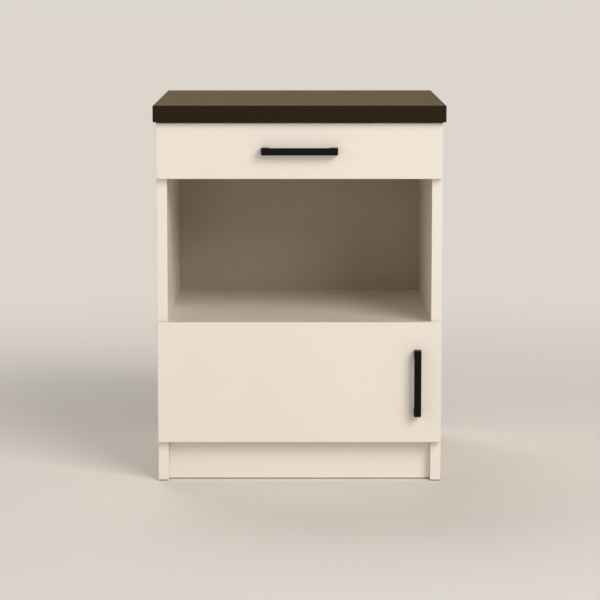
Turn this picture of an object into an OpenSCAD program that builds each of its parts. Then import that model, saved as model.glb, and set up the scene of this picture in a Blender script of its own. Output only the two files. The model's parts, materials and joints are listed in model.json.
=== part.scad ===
// Base cabinet with a worktop, one drawer, an open appliance niche and a lower
// cupboard with a single door. Millimetres, +Z up, the front faces -Y and the
// origin is on the floor under the middle of the whole outline.

/* [Overall] */
// Outer width over the two side panels
cabinet_w = 600; // [500:1:700]
// Height of the worktop's upper face above the floor
total_h = 800; // [780:1:860]
// Depth of the side panels, front edge to rear edge
carcass_d = 575; // [560:1:620]

/* [Boards] */
// Thickness of the side panels
side_t = 22; // [18:1:25]
// Thickness of the horizontal panels, rails and plinth
panel_t = 18; // [18:1:22]
// Thickness of the door and of the drawer front
front_t = 18; // [17:1:22]
// Thickness of the hardboard back
back_t = 3; // [2.5:0.5:6]
// Depth of the grooves that hold the back and the drawer bottom
groove_depth = 6; // [4:0.5:8]
// Free space behind the hardboard back
service_void = 38; // [30:1:50]
// Width of the flat top rails
top_rail_w = 90; // [80:1:120]
// Height of the rails behind the back
hanging_rail_h = 90; // [60:1:120]

/* [Worktop] */
// Thickness of the worktop
worktop_t = 35; // [28:1:40]
// How far the worktop reaches past each side panel
worktop_side_lap = 5; // [0:0.5:15]
// How far the worktop reaches past the face of the fronts
worktop_nose = 15; // [2:0.5:20]

/* [Plinth and feet] */
// Height of the underside of the bottom panel above the floor
plinth_top = 88; // [80:1:110]
// How far the plinth stands back from the side panels' front edges
plinth_setback = 20; // [10:1:40]
// Side of the corner blocks behind the plinth
block_s = 16; // [14:0.5:18]
// Distance from the plinth's edges to the corner blocks
block_inset = 12; // [8:1:14]
// Distance from a side panel's ends to its glides
glide_inset = 45; // [30:1:80]
// Thickness of the nail-in glides under the side panels
glide_h = 2; // [1.5:0.5:5]
// Radius of the glides
glide_r = 9; // [7:0.5:10]

/* [Fronts] */
// Gap between the fronts' back faces and the carcass
front_gap = 2; // [2:0.5:2.5]
// How far each edge of a front stays inside the side panel's outer face
front_reveal = 0.5; // [0:0.25:1.5]
// Height of the door
door_h = 257; // [240:1:270]
// How far the door's lower edge hangs below the bottom panel
door_drop = 1; // [0:0.5:6]
// Height of the drawer front
drawer_front_h = 117; // [112:1:118]
// Gap between the drawer front and the worktop
worktop_gap = 2; // [2:0.5:5]
// How far the drawer front hangs below the deck
deck_drop = 2; // [0:0.5:4]
// How far the door's top edge rises above the niche shelf
shelf_step = 4; // [1:0.5:8]

/* [Handles] */
// Length of the drawer's handle
drawer_handle_l = 160; // [120:1:200]
// Length of the door's handle
door_handle_l = 140; // [110:1:160]
// Distance from a front's face to the front of its handle
handle_projection = 24; // [20:1:32]
// Height of the handle's flat bar
handle_bar_h = 15; // [10:0.5:18]
// Thickness of the handle's flat bar
handle_bar_t = 7; // [5:0.5:9]
// Length of each end post along the bar
handle_post_l = 17; // [10:0.5:22]
// Radius of the handle screws' shanks
handle_screw_r = 2; // [1.5:0.25:2.5]
// Radius of the handle screws' heads
handle_screw_head_r = 4; // [3.5:0.25:5]
// Height of the handle screws' heads
handle_screw_head_h = 2.5; // [2:0.1:3]
// How far the handle screws reach into the posts
handle_screw_bite = 10; // [8:0.5:14]
// Distance from the door's free edge to the middle of its handle
door_handle_inset = 51; // [40:1:80]

/* [Drawer box] */
// Height of the drawer box
box_h = 66; // [62:1:68]
// Free height under the drawer box
box_lift = 7; // [5:0.5:10]
// Free depth between the drawer box and the back
box_rear_clear = 32; // [25:1:80]
// Thickness of the drawer box's sides and back
box_t = 15; // [15:0.5:16]
// Thickness of the drawer bottom
box_bottom_t = 4; // [3:0.5:5]
// Height of the drawer bottom above the lower edge of the sides
box_bottom_lift = 10; // [8:0.5:12]
// Height of the lower cam locks above the foot of the drawer back
box_cam_inset = 10; // [9:0.5:12]
// Distance from the top edge of the drawer sides to the upper cam locks
box_cam_drop = 16; // [15:0.5:17]
// Distance from the drawer back's edges to its screws
box_screw_inset = 12; // [10:0.5:15]

/* [Runners] */
// Width between the side panel and the drawer box
runner_w = 13; // [12.5:0.5:14]
// Height of the cabinet channel
channel_h = 35; // [32:0.5:38]
// Thickness of the runner's sheet metal
runner_t = 1.2; // [1:0.1:1.4]
// Setback of the runners from the side panels' front edges
runner_inset = 2; // [1:0.5:5]
// Length of runner that stays engaged when the drawer is fully out
runner_overlap = 125; // [110:5:200]
// Distance from each end of a runner to its outer screws
runner_screw_inset = 38; // [25:1:60]
// Radius of the bearing balls
ball_r = 1.5; // [1.2:0.1:1.8]
// Thickness of the ball cage
cage_t = 0.8; // [0.6:0.1:1]
// Gap between the ball cage and the metal on each side of it
cage_gap = 0.5; // [0.4:0.1:0.7]
// How much shorter the ball cage is than the engaged length
cage_play = 5; // [4:1:20]

/* [Hinges] */
// Height of the hinges from the door's nearest horizontal edge
hinge_inset = 65; // [58:1:75]
// Distance from the door's edge to the middle of the cup
cup_offset = 22; // [21.5:0.25:22.5]
// Radius of the hinge cup
cup_r = 17.4; // [17:0.1:17.6]
// Depth of the hinge cup
cup_depth = 12; // [12:0.1:12.5]
// Distance from the middle of the cup to its pin
cup_pin_offset = 8; // [7.75:0.25:8.25]
// Depth of the cup's pin below the door's back face
cup_pin_depth = 3; // [2.75:0.25:3.25]
// Distance of the arm's pin off the side panel
arm_pin_off = 14.5; // [14.25:0.25:14.75]
// Distance of the arm's pin behind the side panel's front edge
arm_pin_back = 4; // [3.75:0.25:4.25]
// Height of the link between the arm's cheeks
link_h = 13; // [11:0.5:14]
// Radius of the hinge pins
pin_r = 1.5; // [1.2:0.1:1.6]
// Height of the hinge plate's ridge off the side panel
ridge_h = 15; // [14.5:0.25:15.5]
// Length of the hinge plate's ridge
ridge_l = 32; // [30:1:36]
// Length of the hinge arm behind its pin
arm_l = 66; // [62:1:80]
// Distance from the side panel's front edge to the plate's screws
plate_screw_inset = 37; // [37:0.5:38]
// Distance between the screws of a hinge plate
plate_screw_step = 32; // [30:1:36]
// Distance between the screws of a hinge cup
cup_screw_step = 48; // [46:0.5:50]
// Distance from the middle of the cup to the line of its screws
cup_screw_back = 9.5; // [9:0.25:10]

/* [Fittings] */
// Radius of the cam locks
cam_r = 7.5; // [6:0.5:8]
// Depth of the cam locks
cam_depth = 12.5; // [12.25:0.25:13]
// Distance from a joint to the middle of its cam lock
cam_reach = 24; // [20:0.5:34]
// Distance from a deep panel's edge to its nearest cam lock
cam_inset = 50; // [40:1:70]
// Distance from a rail's edge to its cam lock
rail_cam_inset = 30; // [25:1:40]
// Distance from a cam lock to the dowel beside it
dowel_step = 32; // [26:1:40]
// Distance of a hanging rail's dowels from its middle
hanging_dowel_step = 25; // [15:1:30]
// Depth of the bores in the sides for dowels and cam bolts
side_bore = 11; // [9:0.5:13]
// Radius of the wooden dowels
dowel_r = 4; // [3:0.5:4]
// Length of the wooden dowels
dowel_l = 32; // [25:1:36]
// Radius of the wood screws' shanks
screw_r = 2; // [1.5:0.1:2.2]
// Radius of the wood screws' countersunk heads
screw_head_r = 3.8; // [3.4:0.1:4.2]
// Length of the screws up into the worktop and into the drawer back
worktop_screw_l = 38; // [30:1:45]
// Distance between the screws up into the worktop
worktop_screw_step = 200; // [150:5:220]
// Length of the runners' and the hinge plates' screws
runner_screw_l = 14; // [12:0.5:15]
// Length of the corner blocks' screws
block_screw_l = 26; // [22:1:30]
// Length of the hinge cups' screws
cup_screw_l = 13; // [10:0.5:15]
// Radius of the cable hole in the back of the niche
cable_hole_r = 22; // [18:1:40]
// Gap between the cable hole and the deck over the niche
cable_hole_drop = 4; // [3:0.5:20]
// Distance from the cable hole to the right side panel
cable_hole_inset = 60; // [20:5:200]

/* [Hidden] */
$fn = 48;

// Clearances
fit = 0.1;
groove_fit = 0.2;
groove_end_gap = 0.5;
pin_fit = 0.05;
running_gap = 0.3;

// Depth: the handles' faces and the carcass rear edge bound the outline
outline_d = handle_projection + front_t + front_gap + carcass_d;
rear_y = outline_d / 2;
carcass_y = rear_y - carcass_d;
front_back_y = carcass_y - front_gap;
front_face_y = front_back_y - front_t;
worktop_y = front_face_y - worktop_nose;
back_y = rear_y - service_void - back_t;

// Width
outer_x = cabinet_w / 2;
inner_x = outer_x - side_t;
front_x = outer_x - front_reveal;

// Height
side_top_z = total_h - worktop_t;
bottom_z = plinth_top;
door_z = bottom_z - door_drop;
door_top_z = door_z + door_h;
shelf_z = door_top_z - shelf_step - panel_t;
rail_z = side_top_z - panel_t;
drawer_front_z = side_top_z - worktop_gap - drawer_front_h;
deck_z = drawer_front_z + deck_drop;

// Drawer box
box_x = inner_x - runner_w;
box_z = deck_z + panel_t + box_lift;
box_top_z = box_z + box_h;
box_rear_y = back_y - box_rear_clear;
box_bottom_z = box_z + box_bottom_lift;
box_back_z = box_bottom_z + box_bottom_t + groove_fit;
box_cam_y = front_back_y + cam_reach;
box_cam_zs = [box_back_z + box_cam_inset, box_top_z - box_cam_drop];
box_back_screw_zs = [box_back_z + box_screw_inset, box_top_z - box_screw_inset];

// Runners
runner_y = carcass_y + runner_inset;
runner_l = box_rear_y - runner_y;
drawer_travel = runner_l - runner_overlap;
cage_l = runner_overlap - cage_play;
runner_z = box_z + box_h / 2;
flange_w = runner_w - runner_t - cage_t - 2 * cage_gap;
ball_gap = 2 * (ball_r + running_gap);
slide_h = channel_h - 2 * (runner_t + ball_gap);
ball_z = slide_h / 2 + ball_gap / 2;
ball_x = (inner_x + box_x) / 2;
ball_count = 7;
ball_pitch = cage_l / (ball_count + 1);
cage_y = runner_y + drawer_travel / 2 + cage_play / 2;
cage_web_x = inner_x - runner_t - cage_gap;
runner_screw_ys = [runner_screw_inset, runner_l / 2, runner_l - runner_screw_inset];

// Fittings that join the flat panels to the sides: middle height, cam y, dowel y
function deep_rows(z) = [
    [z + panel_t / 2, carcass_y + cam_inset, carcass_y + cam_inset + dowel_step],
    [z + panel_t / 2, back_y - cam_inset, back_y - cam_inset - dowel_step]
];
function rail_row(z, y) = [[z + panel_t / 2, y + rail_cam_inset, y + rail_cam_inset + dowel_step]];
front_rail_y = carcass_y;
rear_rail_y = back_y - top_rail_w;
panel_rows = concat(
    deep_rows(bottom_z), deep_rows(shelf_z), deep_rows(deck_z),
    rail_row(rail_z, front_rail_y), rail_row(rail_z, rear_rail_y)
);
bolt_r = 3;
bolt_tip_r = 2.5;
bolt_past_cam = 2;

// Rails behind the back
hanging_y = back_y + back_t;
hanging_z_upper = side_top_z - hanging_rail_h;
hanging_z_lower = bottom_z;

// Screws
screw_head_h = screw_head_r - screw_r;
worktop_screw_xs = [-worktop_screw_step, 0, worktop_screw_step];

// Plinth
plinth_y = carcass_y + plinth_setback;
block_zs = [block_inset, plinth_top - block_inset - block_s];
block_screw_low = block_s * 0.3;
block_screw_high = block_s * 0.7;

// Hinges, in a plan frame whose zero is the door's rear corner on the hinge side
hinge_zs = [door_z + hinge_inset, door_top_z - hinge_inset];
panel_x = front_x - inner_x;
arm_pivot = [panel_x + arm_pin_off, front_gap + arm_pin_back];
door_pivot = [cup_offset - cup_pin_offset, -cup_pin_depth];
// Bends of the link, which runs deepest in the middle of the cup
link_bends = [[cup_offset - 3, -7.2], [cup_offset + 4, -6.2], [arm_pivot[0] - 5.5, 0.8]];
link_t = 2.4;
hub_r = 2.8;
cheek_t = 1.5;
cheek_in = link_h / 2 + running_gap;
cheek_out = cheek_in + cheek_t;
arm_top_x = panel_x + ridge_h;
arm_neck = hub_r + 0.4;
arm_neck_l = 7;
arm_slope_l = 20;
arm_skirt_gap = 5.5;
arm_web_y = arm_pivot[1] + arm_neck_l;
arm_back_y = arm_pivot[1] + arm_l;
cup_wall = 0.9;
cup_floor = 0.7;
flange_t = 1;
cup_rim = 1.5;
ear_r = 6;
// Half length of the bore across the cup, ending inside the cup's wall
cup_bore_half = sqrt(pow(cup_r, 2) - pow(cup_offset - door_pivot[0] + pin_r, 2)) - fit;
cup_screw_x = cup_offset + cup_screw_back;
cup_screw_z = cup_screw_step / 2;
plate_t = 3;
plate_screw_y = front_gap + plate_screw_inset;
plate_screw_z = plate_screw_step / 2;
ridge_place = 0.8;
ridge_y = arm_pivot[1] + (arm_l - ridge_l) * ridge_place;
arm_screw_ys = [ridge_y + ridge_l / 4, ridge_y + ridge_l * 3 / 4];
arm_screw_bite = 10;
arm_screw_r = 2.5;
arm_screw_head_r = 4.2;
arm_screw_head_h = 2.4;

// Colours
cream = [0.92, 0.88, 0.82];
worktop_brown = [0.22, 0.18, 0.13];
hardboard = [0.68, 0.63, 0.55];
black = [0.05, 0.05, 0.05];
zinc = [0.72, 0.73, 0.74];
dark_zinc = [0.5, 0.51, 0.53];
beech = [0.8, 0.66, 0.46];
white_plastic = [0.9, 0.9, 0.88];

// ---- Shared shapes ----

// A box from its lowest to its highest corner
module block(lo, hi) {
    translate(lo) cube(hi - lo);
}

// Children on the right side, or mirrored to the left side
module on_side(side) {
    mirror([side < 0 ? 1 : 0, 0, 0]) children();
}

module on_both_sides() {
    on_side(1) children();
    on_side(-1) children();
}

// Countersunk wood screw: its flat face at zero and its tip at -length.
// grow widens it all round, for the hole it sits in.
module wood_screw(length, grow = 0) {
    translate([0, 0, -screw_head_h])
        cylinder(h = screw_head_h, r1 = screw_r + grow, r2 = screw_head_r + grow);
    translate([0, 0, -length - grow])
        cylinder(h = length + grow - screw_head_h, r = screw_r + grow);
}

// Machine screw with a round flat head standing on zero and its tip at -length.
// grow widens and deepens its shank only.
module machine_screw(length, shank_r, head_r, head_h, grow = 0) {
    cylinder(h = head_h, r = head_r);
    translate([0, 0, -length - grow]) cylinder(h = length + grow, r = shank_r + grow);
}

// Cam lock seen from below: a disc along +Z with a cross slot and a bolt mouth
module cam_lock(depth, bolt_z) {
    rim = 2;
    slot_w = 1.6;
    slot_depth = 1.5;
    difference() {
        cylinder(h = depth, r = cam_r);
        block([rim - cam_r, -slot_w / 2, -1], [cam_r - rim, slot_w / 2, slot_depth]);
        block([-slot_w / 2, rim - cam_r, -1], [slot_w / 2, cam_r - rim, slot_depth]);
        translate([-bolt_past_cam - fit, 0, bolt_z]) rotate([0, 90, 0])
            cylinder(h = cam_r + bolt_past_cam + 1, r = bolt_r + fit);
    }
}

// Cam bolt along +X: its tip in the side at -side_bore, its head past the cam
module cam_bolt(grow = 0) {
    rotate([0, 90, 0]) {
        translate([0, 0, -side_bore]) cylinder(h = side_bore, r = bolt_tip_r + grow);
        cylinder(h = cam_reach + bolt_past_cam, r = bolt_r + grow);
    }
}

// ---- Places of the repeated fittings, all on the right side ----

// At the joint of each panel and side, pointing into the panel
module at_cam_bolts(rows) {
    for (row = rows) translate([inner_x, row[1], row[0]]) rotate([0, 0, 180]) children();
}

module at_cams(rows) {
    for (row = rows)
        translate([inner_x - cam_reach, row[1], row[0] - panel_t / 2]) children();
}

module at_dowels(rows) {
    for (row = rows) translate([inner_x + side_bore, row[2], row[0]]) children();
}

module at_hanging_dowels() {
    for (z = [hanging_z_upper, hanging_z_lower])
        for (step = [-1, 1])
            translate([inner_x + side_bore, hanging_y + panel_t / 2,
                       z + hanging_rail_h / 2 + step * hanging_dowel_step]) children();
}

module dowel_pin(grow = 0) {
    translate([grow, 0, 0]) rotate([0, -90, 0]) cylinder(h = dowel_l + 2 * grow, r = dowel_r + grow);
}

module at_channel_screws() {
    for (y = runner_screw_ys)
        translate([inner_x - runner_t, runner_y + y, runner_z]) rotate([0, -90, 0]) children();
}

module at_slide_screws() {
    for (y = runner_screw_ys)
        translate([box_x + runner_t, runner_y + y, runner_z]) rotate([0, 90, 0]) children();
}

// Screws of the corner blocks: one into the side, one into the plinth
module at_block_side_screws() {
    for (z = block_zs)
        translate([inner_x - block_s, plinth_y + panel_t + block_screw_high, z + block_screw_low])
            rotate([0, -90, 0]) children();
}

module at_block_plinth_screws() {
    for (z = block_zs)
        translate([inner_x - block_screw_high, plinth_y + panel_t + block_s, z + block_screw_high])
            rotate([-90, 0, 0]) children();
}

module at_worktop_screws(rail_y) {
    for (x = worktop_screw_xs)
        translate([x, rail_y + top_rail_w / 2, rail_z]) rotate([180, 0, 0]) children();
}

module at_box_back_screws() {
    for (z = box_back_screw_zs)
        translate([box_x, box_rear_y - box_t / 2, z]) rotate([0, 90, 0]) children();
}

module at_box_cams() {
    for (z = box_cam_zs) translate([box_x - box_t, box_cam_y, z]) children();
}

module at_box_cam_bolts() {
    for (z = box_cam_zs)
        translate([box_x - box_t / 2, front_back_y, z]) rotate([0, 0, 90]) children();
}

// Children in a hinge's plan frame at one height
module at_hinge(z) {
    translate([-front_x, front_back_y, z]) children();
}

module at_plate_screws() {
    for (side = [-1, 1])
        translate([panel_x + plate_t, plate_screw_y, side * plate_screw_z])
            rotate([0, 90, 0]) children();
}

module at_cup_screws() {
    for (side = [-1, 1])
        translate([cup_screw_x, flange_t, side * cup_screw_z]) rotate([-90, 0, 0]) children();
}

module at_arm_screws() {
    for (y = arm_screw_ys)
        translate([arm_top_x + cheek_t, y, 0]) rotate([0, 90, 0]) children();
}

module at_drawer_handle() {
    translate([0, front_face_y, drawer_front_z + drawer_front_h / 2]) children();
}

module at_door_handle() {
    translate([front_x - door_handle_inset, front_face_y, door_z + door_h / 2])
        rotate([0, 90, 0]) children();
}

// The two screws of a handle, their heads on the front's back face
module at_handle_screws(length) {
    for (side = [-1, 1])
        translate([side * (length - handle_post_l) / 2, front_t, 0]) rotate([-90, 0, 0]) children();
}

// ---- Carcass ----

module worktop() {
    color(worktop_brown) difference() {
        block([-outer_x - worktop_side_lap, worktop_y, side_top_z],
              [outer_x + worktop_side_lap, rear_y, total_h]);
        at_worktop_screws(front_rail_y) wood_screw(worktop_screw_l, fit);
        at_worktop_screws(rear_rail_y) wood_screw(worktop_screw_l, fit);
    }
}

module side_panel(side) {
    color(cream) difference() {
        on_side(side) difference() {
            block([inner_x, carcass_y, glide_h], [outer_x, rear_y, side_top_z]);
            block([inner_x - 1, back_y - groove_fit / 2, bottom_z - 1],
                  [inner_x + groove_depth, hanging_y + groove_fit / 2, side_top_z + 1]);
            at_cam_bolts(panel_rows) cam_bolt(fit);
            at_dowels(panel_rows) dowel_pin(fit);
            at_hanging_dowels() dowel_pin(fit);
            at_channel_screws() wood_screw(runner_screw_l, fit);
            at_block_side_screws() wood_screw(block_screw_l, fit);
        }
        if (side < 0)
            for (z = hinge_zs) at_hinge(z) at_plate_screws() wood_screw(runner_screw_l, fit);
    }
}

// A flat panel between the sides, bored at both ends for its fittings
module flat_panel(y0, y1, z, rows) {
    color(cream) difference() {
        block([-inner_x, y0, z], [inner_x, y1, z + panel_t]);
        on_both_sides() {
            at_cam_bolts(rows) cam_bolt(fit);
            at_cams(rows) translate([0, 0, -1]) cylinder(h = cam_depth + 1 + fit, r = cam_r + fit);
            at_dowels(rows) dowel_pin(fit);
        }
    }
}

module bottom_panel() {
    flat_panel(carcass_y, back_y, bottom_z, deep_rows(bottom_z));
}

module niche_shelf() {
    flat_panel(carcass_y, back_y, shelf_z, deep_rows(shelf_z));
}

module drawer_deck() {
    flat_panel(carcass_y, back_y, deck_z, deep_rows(deck_z));
}

module top_rail(rail_y) {
    difference() {
        flat_panel(rail_y, rail_y + top_rail_w, rail_z, rail_row(rail_z, rail_y));
        at_worktop_screws(rail_y) wood_screw(worktop_screw_l, fit);
    }
}

module top_rail_front() {
    color(cream) top_rail(front_rail_y);
}

module top_rail_rear() {
    color(cream) top_rail(rear_rail_y);
}

module back_panel() {
    half_w = inner_x + groove_depth - groove_end_gap;
    hole_x = inner_x - cable_hole_inset - cable_hole_r;
    hole_z = deck_z - cable_hole_drop - cable_hole_r;
    color(hardboard) difference() {
        block([-half_w, back_y, bottom_z], [half_w, hanging_y, side_top_z]);
        translate([hole_x, back_y - 1, hole_z]) rotate([-90, 0, 0])
            cylinder(h = back_t + 2, r = cable_hole_r);
    }
}

module hanging_rail(z) {
    color(cream) difference() {
        block([-inner_x, hanging_y, z], [inner_x, hanging_y + panel_t, z + hanging_rail_h]);
        on_both_sides() at_hanging_dowels() dowel_pin(fit);
    }
}

module plinth() {
    color(cream) difference() {
        block([-inner_x, plinth_y, glide_h], [inner_x, plinth_y + panel_t, plinth_top]);
        on_both_sides() at_block_plinth_screws() wood_screw(block_screw_l, fit);
    }
}

// Corner blocks that tie the plinth to the side panels
module plinth_blocks() {
    color(white_plastic) on_both_sides() difference() {
        for (z = block_zs)
            block([inner_x - block_s, plinth_y + panel_t, z],
                  [inner_x, plinth_y + panel_t + block_s, z + block_s]);
        at_block_side_screws() wood_screw(block_screw_l, fit);
        at_block_plinth_screws() wood_screw(block_screw_l, fit);
    }
}

module plinth_block_screws() {
    color(zinc) on_both_sides() {
        at_block_side_screws() wood_screw(block_screw_l);
        at_block_plinth_screws() wood_screw(block_screw_l);
    }
}

// Nail-in glide: a disc with a bevelled lower rim
module glide(side, y) {
    bevel = glide_h / 2;
    color(white_plastic) translate([side * (outer_x - side_t / 2), y, 0]) {
        cylinder(h = bevel, r1 = glide_r - bevel, r2 = glide_r);
        translate([0, 0, bevel]) cylinder(h = glide_h - bevel, r = glide_r);
    }
}

module cam_locks() {
    color(zinc) on_both_sides() at_cams(panel_rows) cam_lock(cam_depth, panel_t / 2);
}

module cam_bolts() {
    color(dark_zinc) on_both_sides() at_cam_bolts(panel_rows) cam_bolt();
}

module dowels() {
    color(beech) on_both_sides() {
        at_dowels(panel_rows) dowel_pin();
        at_hanging_dowels() dowel_pin();
    }
}

module worktop_screws() {
    color(zinc) {
        at_worktop_screws(front_rail_y) wood_screw(worktop_screw_l);
        at_worktop_screws(rear_rail_y) wood_screw(worktop_screw_l);
    }
}

// ---- Runners ----

// Channel fixed to the side panel, open towards the drawer
module runner_channel(side) {
    color(zinc) on_side(side) difference() {
        translate([0, 0, runner_z])
            block([inner_x - flange_w, runner_y, -channel_h / 2],
                  [inner_x, runner_y + runner_l, channel_h / 2]);
        translate([0, 0, runner_z])
            block([inner_x - flange_w - 1, runner_y - 1, runner_t - channel_h / 2],
                  [inner_x - runner_t, runner_y + runner_l + 1, channel_h / 2 - runner_t]);
        at_channel_screws() wood_screw(runner_screw_l, fit);
    }
}

module runner_channel_screws() {
    color(zinc) on_both_sides() at_channel_screws() wood_screw(runner_screw_l);
}

// Slide fixed to the drawer box, nested in the channel
module runner_slide(side) {
    color(dark_zinc) on_side(side) difference() {
        translate([0, 0, runner_z])
            block([box_x, runner_y, -slide_h / 2], [box_x + flange_w, runner_y + runner_l, slide_h / 2]);
        translate([0, 0, runner_z])
            block([box_x + runner_t, runner_y - 1, runner_t - slide_h / 2],
                  [box_x + flange_w + 1, runner_y + runner_l + 1, slide_h / 2 - runner_t]);
        at_slide_screws() wood_screw(runner_screw_l, fit);
    }
}

module runner_slide_screws() {
    color(zinc) on_both_sides() at_slide_screws() wood_screw(runner_screw_l);
}

module at_balls() {
    for (step = [1 : ball_count])
        for (flip = [-1, 1])
            translate([ball_x, cage_y + step * ball_pitch, runner_z + flip * ball_z]) children();
}

// Cage that spaces the balls between the channel and the slide
module ball_cage(side) {
    half_h = ball_z + cage_t / 2;
    color(white_plastic) on_side(side) difference() {
        translate([0, 0, runner_z])
            block([inner_x - flange_w + cage_gap, cage_y, -half_h],
                  [cage_web_x, cage_y + cage_l, half_h]);
        translate([0, 0, runner_z])
            block([inner_x - flange_w - 1, cage_y - 1, cage_t - half_h],
                  [cage_web_x - cage_t, cage_y + cage_l + 1, half_h - cage_t]);
        at_balls() translate([0, 0, -cage_t]) cylinder(h = 2 * cage_t, r = ball_r + fit);
    }
}

module runner_balls(side) {
    color(dark_zinc) on_side(side) at_balls() sphere(r = ball_r);
}

// ---- Drawer ----

module drawer_front() {
    color(cream) difference() {
        block([-front_x, front_face_y, drawer_front_z],
              [front_x, front_back_y, drawer_front_z + drawer_front_h]);
        block([-box_x + box_t - groove_depth, front_back_y - groove_depth, box_bottom_z],
              [box_x - box_t + groove_depth, front_back_y + 1,
               box_bottom_z + box_bottom_t + groove_fit]);
        on_both_sides() at_box_cam_bolts() cam_bolt(fit);
        at_drawer_handle() at_handle_screws(drawer_handle_l) handle_screw(fit);
    }
}

module drawer_side(side) {
    color(cream) on_side(side) difference() {
        block([box_x - box_t, front_back_y, box_z], [box_x, box_rear_y, box_top_z]);
        block([box_x - box_t - 1, front_back_y - 1, box_bottom_z],
              [box_x - box_t + groove_depth, box_rear_y + 1,
               box_bottom_z + box_bottom_t + groove_fit]);
        at_box_cams() translate([-1, 0, 0]) rotate([0, 90, 0])
            cylinder(h = cam_depth + 1 + fit, r = cam_r + fit);
        at_box_cam_bolts() cam_bolt(fit);
        at_slide_screws() wood_screw(runner_screw_l, fit);
        at_box_back_screws() wood_screw(worktop_screw_l, fit);
    }
}

module drawer_back() {
    color(cream) difference() {
        block([-box_x + box_t, box_rear_y - box_t, box_back_z], [box_x - box_t, box_rear_y, box_top_z]);
        on_both_sides() at_box_back_screws() wood_screw(worktop_screw_l, fit);
    }
}

module drawer_bottom() {
    tongue = groove_depth - groove_end_gap;
    color(hardboard)
        block([-box_x + box_t - tongue, front_back_y - tongue, box_bottom_z],
              [box_x - box_t + tongue, box_rear_y, box_bottom_z + box_bottom_t]);
}

module drawer_cams() {
    color(zinc) on_both_sides() at_box_cams()
        rotate([0, 90, 0]) rotate([0, 0, 90]) mirror([1, 0, 0]) cam_lock(cam_depth, box_t / 2);
}

module drawer_cam_bolts() {
    color(dark_zinc) on_both_sides() at_box_cam_bolts() cam_bolt();
}

module drawer_back_screws() {
    color(zinc) on_both_sides() at_box_back_screws() wood_screw(worktop_screw_l);
}

// ---- Handles ----

// Flat bar on two end posts, its back on zero, reaching towards -Y along X
module handle(length) {
    half_l = length / 2;
    half_h = handle_bar_h / 2;
    color(black) difference() {
        block([-half_l, -handle_projection, -half_h], [half_l, 0, half_h]);
        block([-half_l + handle_post_l, -handle_projection + handle_bar_t, -half_h - 1],
              [half_l - handle_post_l, 1, half_h + 1]);
        at_handle_screws(length) handle_screw(pin_fit);
    }
}

module handle_screw(grow = 0) {
    machine_screw(front_t + handle_screw_bite, handle_screw_r,
                  handle_screw_head_r, handle_screw_head_h, grow);
}

module drawer_handle() {
    at_drawer_handle() handle(drawer_handle_l);
}

module drawer_handle_screws() {
    color(zinc) at_drawer_handle() at_handle_screws(drawer_handle_l) handle_screw();
}

// ---- Door ----

module door_panel() {
    color(cream) difference() {
        block([-front_x, front_face_y, door_z], [front_x, front_back_y, door_top_z]);
        for (z = hinge_zs) at_hinge(z) {
            translate([cup_offset, 1, 0]) rotate([90, 0, 0])
                cylinder(h = cup_depth + 1 + fit, r = cup_r + fit);
            at_cup_screws() wood_screw(cup_screw_l, fit);
        }
        at_door_handle() at_handle_screws(door_handle_l) handle_screw(fit);
    }
}

module door_handle() {
    at_door_handle() handle(door_handle_l);
}

module door_handle_screws() {
    color(zinc) at_door_handle() at_handle_screws(door_handle_l) handle_screw();
}

// Soft stops on the free side of the door's back
module door_buffers() {
    buffer_r = 4;
    inset_z = 18;
    color(white_plastic)
        for (z = [door_z + inset_z, door_top_z - inset_z])
            translate([outer_x - side_t / 2, front_back_y, z]) rotate([-90, 0, 0])
                cylinder(h = front_gap - running_gap, r = buffer_r);
}

// ---- Concealed hinges ----

// Cup pressed into the door, with a flange and its two screw ears
module hinge_cup(z) {
    color(zinc) at_hinge(z) difference() {
        union() {
            translate([cup_offset, 0, 0]) rotate([90, 0, 0]) cylinder(h = cup_depth, r = cup_r);
            translate([cup_offset, flange_t, 0]) rotate([90, 0, 0]) 
                cylinder(h = flange_t, r = cup_r + cup_rim);
            translate([0, flange_t, 0]) rotate([90, 0, 0]) {
                for (side = [-1, 1])
                    translate([cup_screw_x, side * cup_screw_z, 0]) cylinder(h = flange_t, r = ear_r);
                translate([cup_screw_x - ear_r, -cup_screw_z, 0])
                    cube([2 * ear_r, 2 * cup_screw_z, flange_t]);
            }
        }
        translate([cup_offset, flange_t + 1, 0]) rotate([90, 0, 0])
            cylinder(h = cup_depth + flange_t + 1 - cup_floor, r = cup_r - cup_wall);
        translate([door_pivot[0], door_pivot[1], 0]) cylinder(
            h = 2 * cup_bore_half, r = pin_r + fit, center = true);
        at_cup_screws() wood_screw(cup_screw_l, fit);
    }
}

module hinge_cup_pins() {
    color(dark_zinc) for (z = hinge_zs) at_hinge(z)
        translate([door_pivot[0], door_pivot[1], 0])
            cylinder(h = 2 * (cup_bore_half - fit), r = pin_r, center = true);
}

module hinge_cup_screws() {
    color(zinc) for (z = hinge_zs) at_hinge(z) at_cup_screws() wood_screw(cup_screw_l);
}

// One straight length of the link's outline
module strut(p, q) {
    run = q - p;
    translate(p) rotate(atan2(run[1], run[0])) translate([0, -link_t / 2]) square([norm(run), link_t]);
}

// Cranked link from the arm's pin down into the cup and up to the door's pin
module hinge_link(z) {
    path = concat([door_pivot], link_bends, [arm_pivot]);
    color(zinc) at_hinge(z) translate([0, 0, -link_h / 2]) difference() {
        linear_extrude(link_h) {
            for (i = [0 : len(path) - 2]) strut(path[i], path[i + 1]);
            for (bend = link_bends) translate(bend) circle(r = link_t / 2 + 0.25);
            translate(door_pivot) circle(r = hub_r);
            translate(arm_pivot) circle(r = hub_r);
        }
        for (pivot = [door_pivot, arm_pivot])
            translate([pivot[0], pivot[1], -1]) cylinder(h = link_h + 2, r = pin_r + pin_fit);
    }
}

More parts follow.
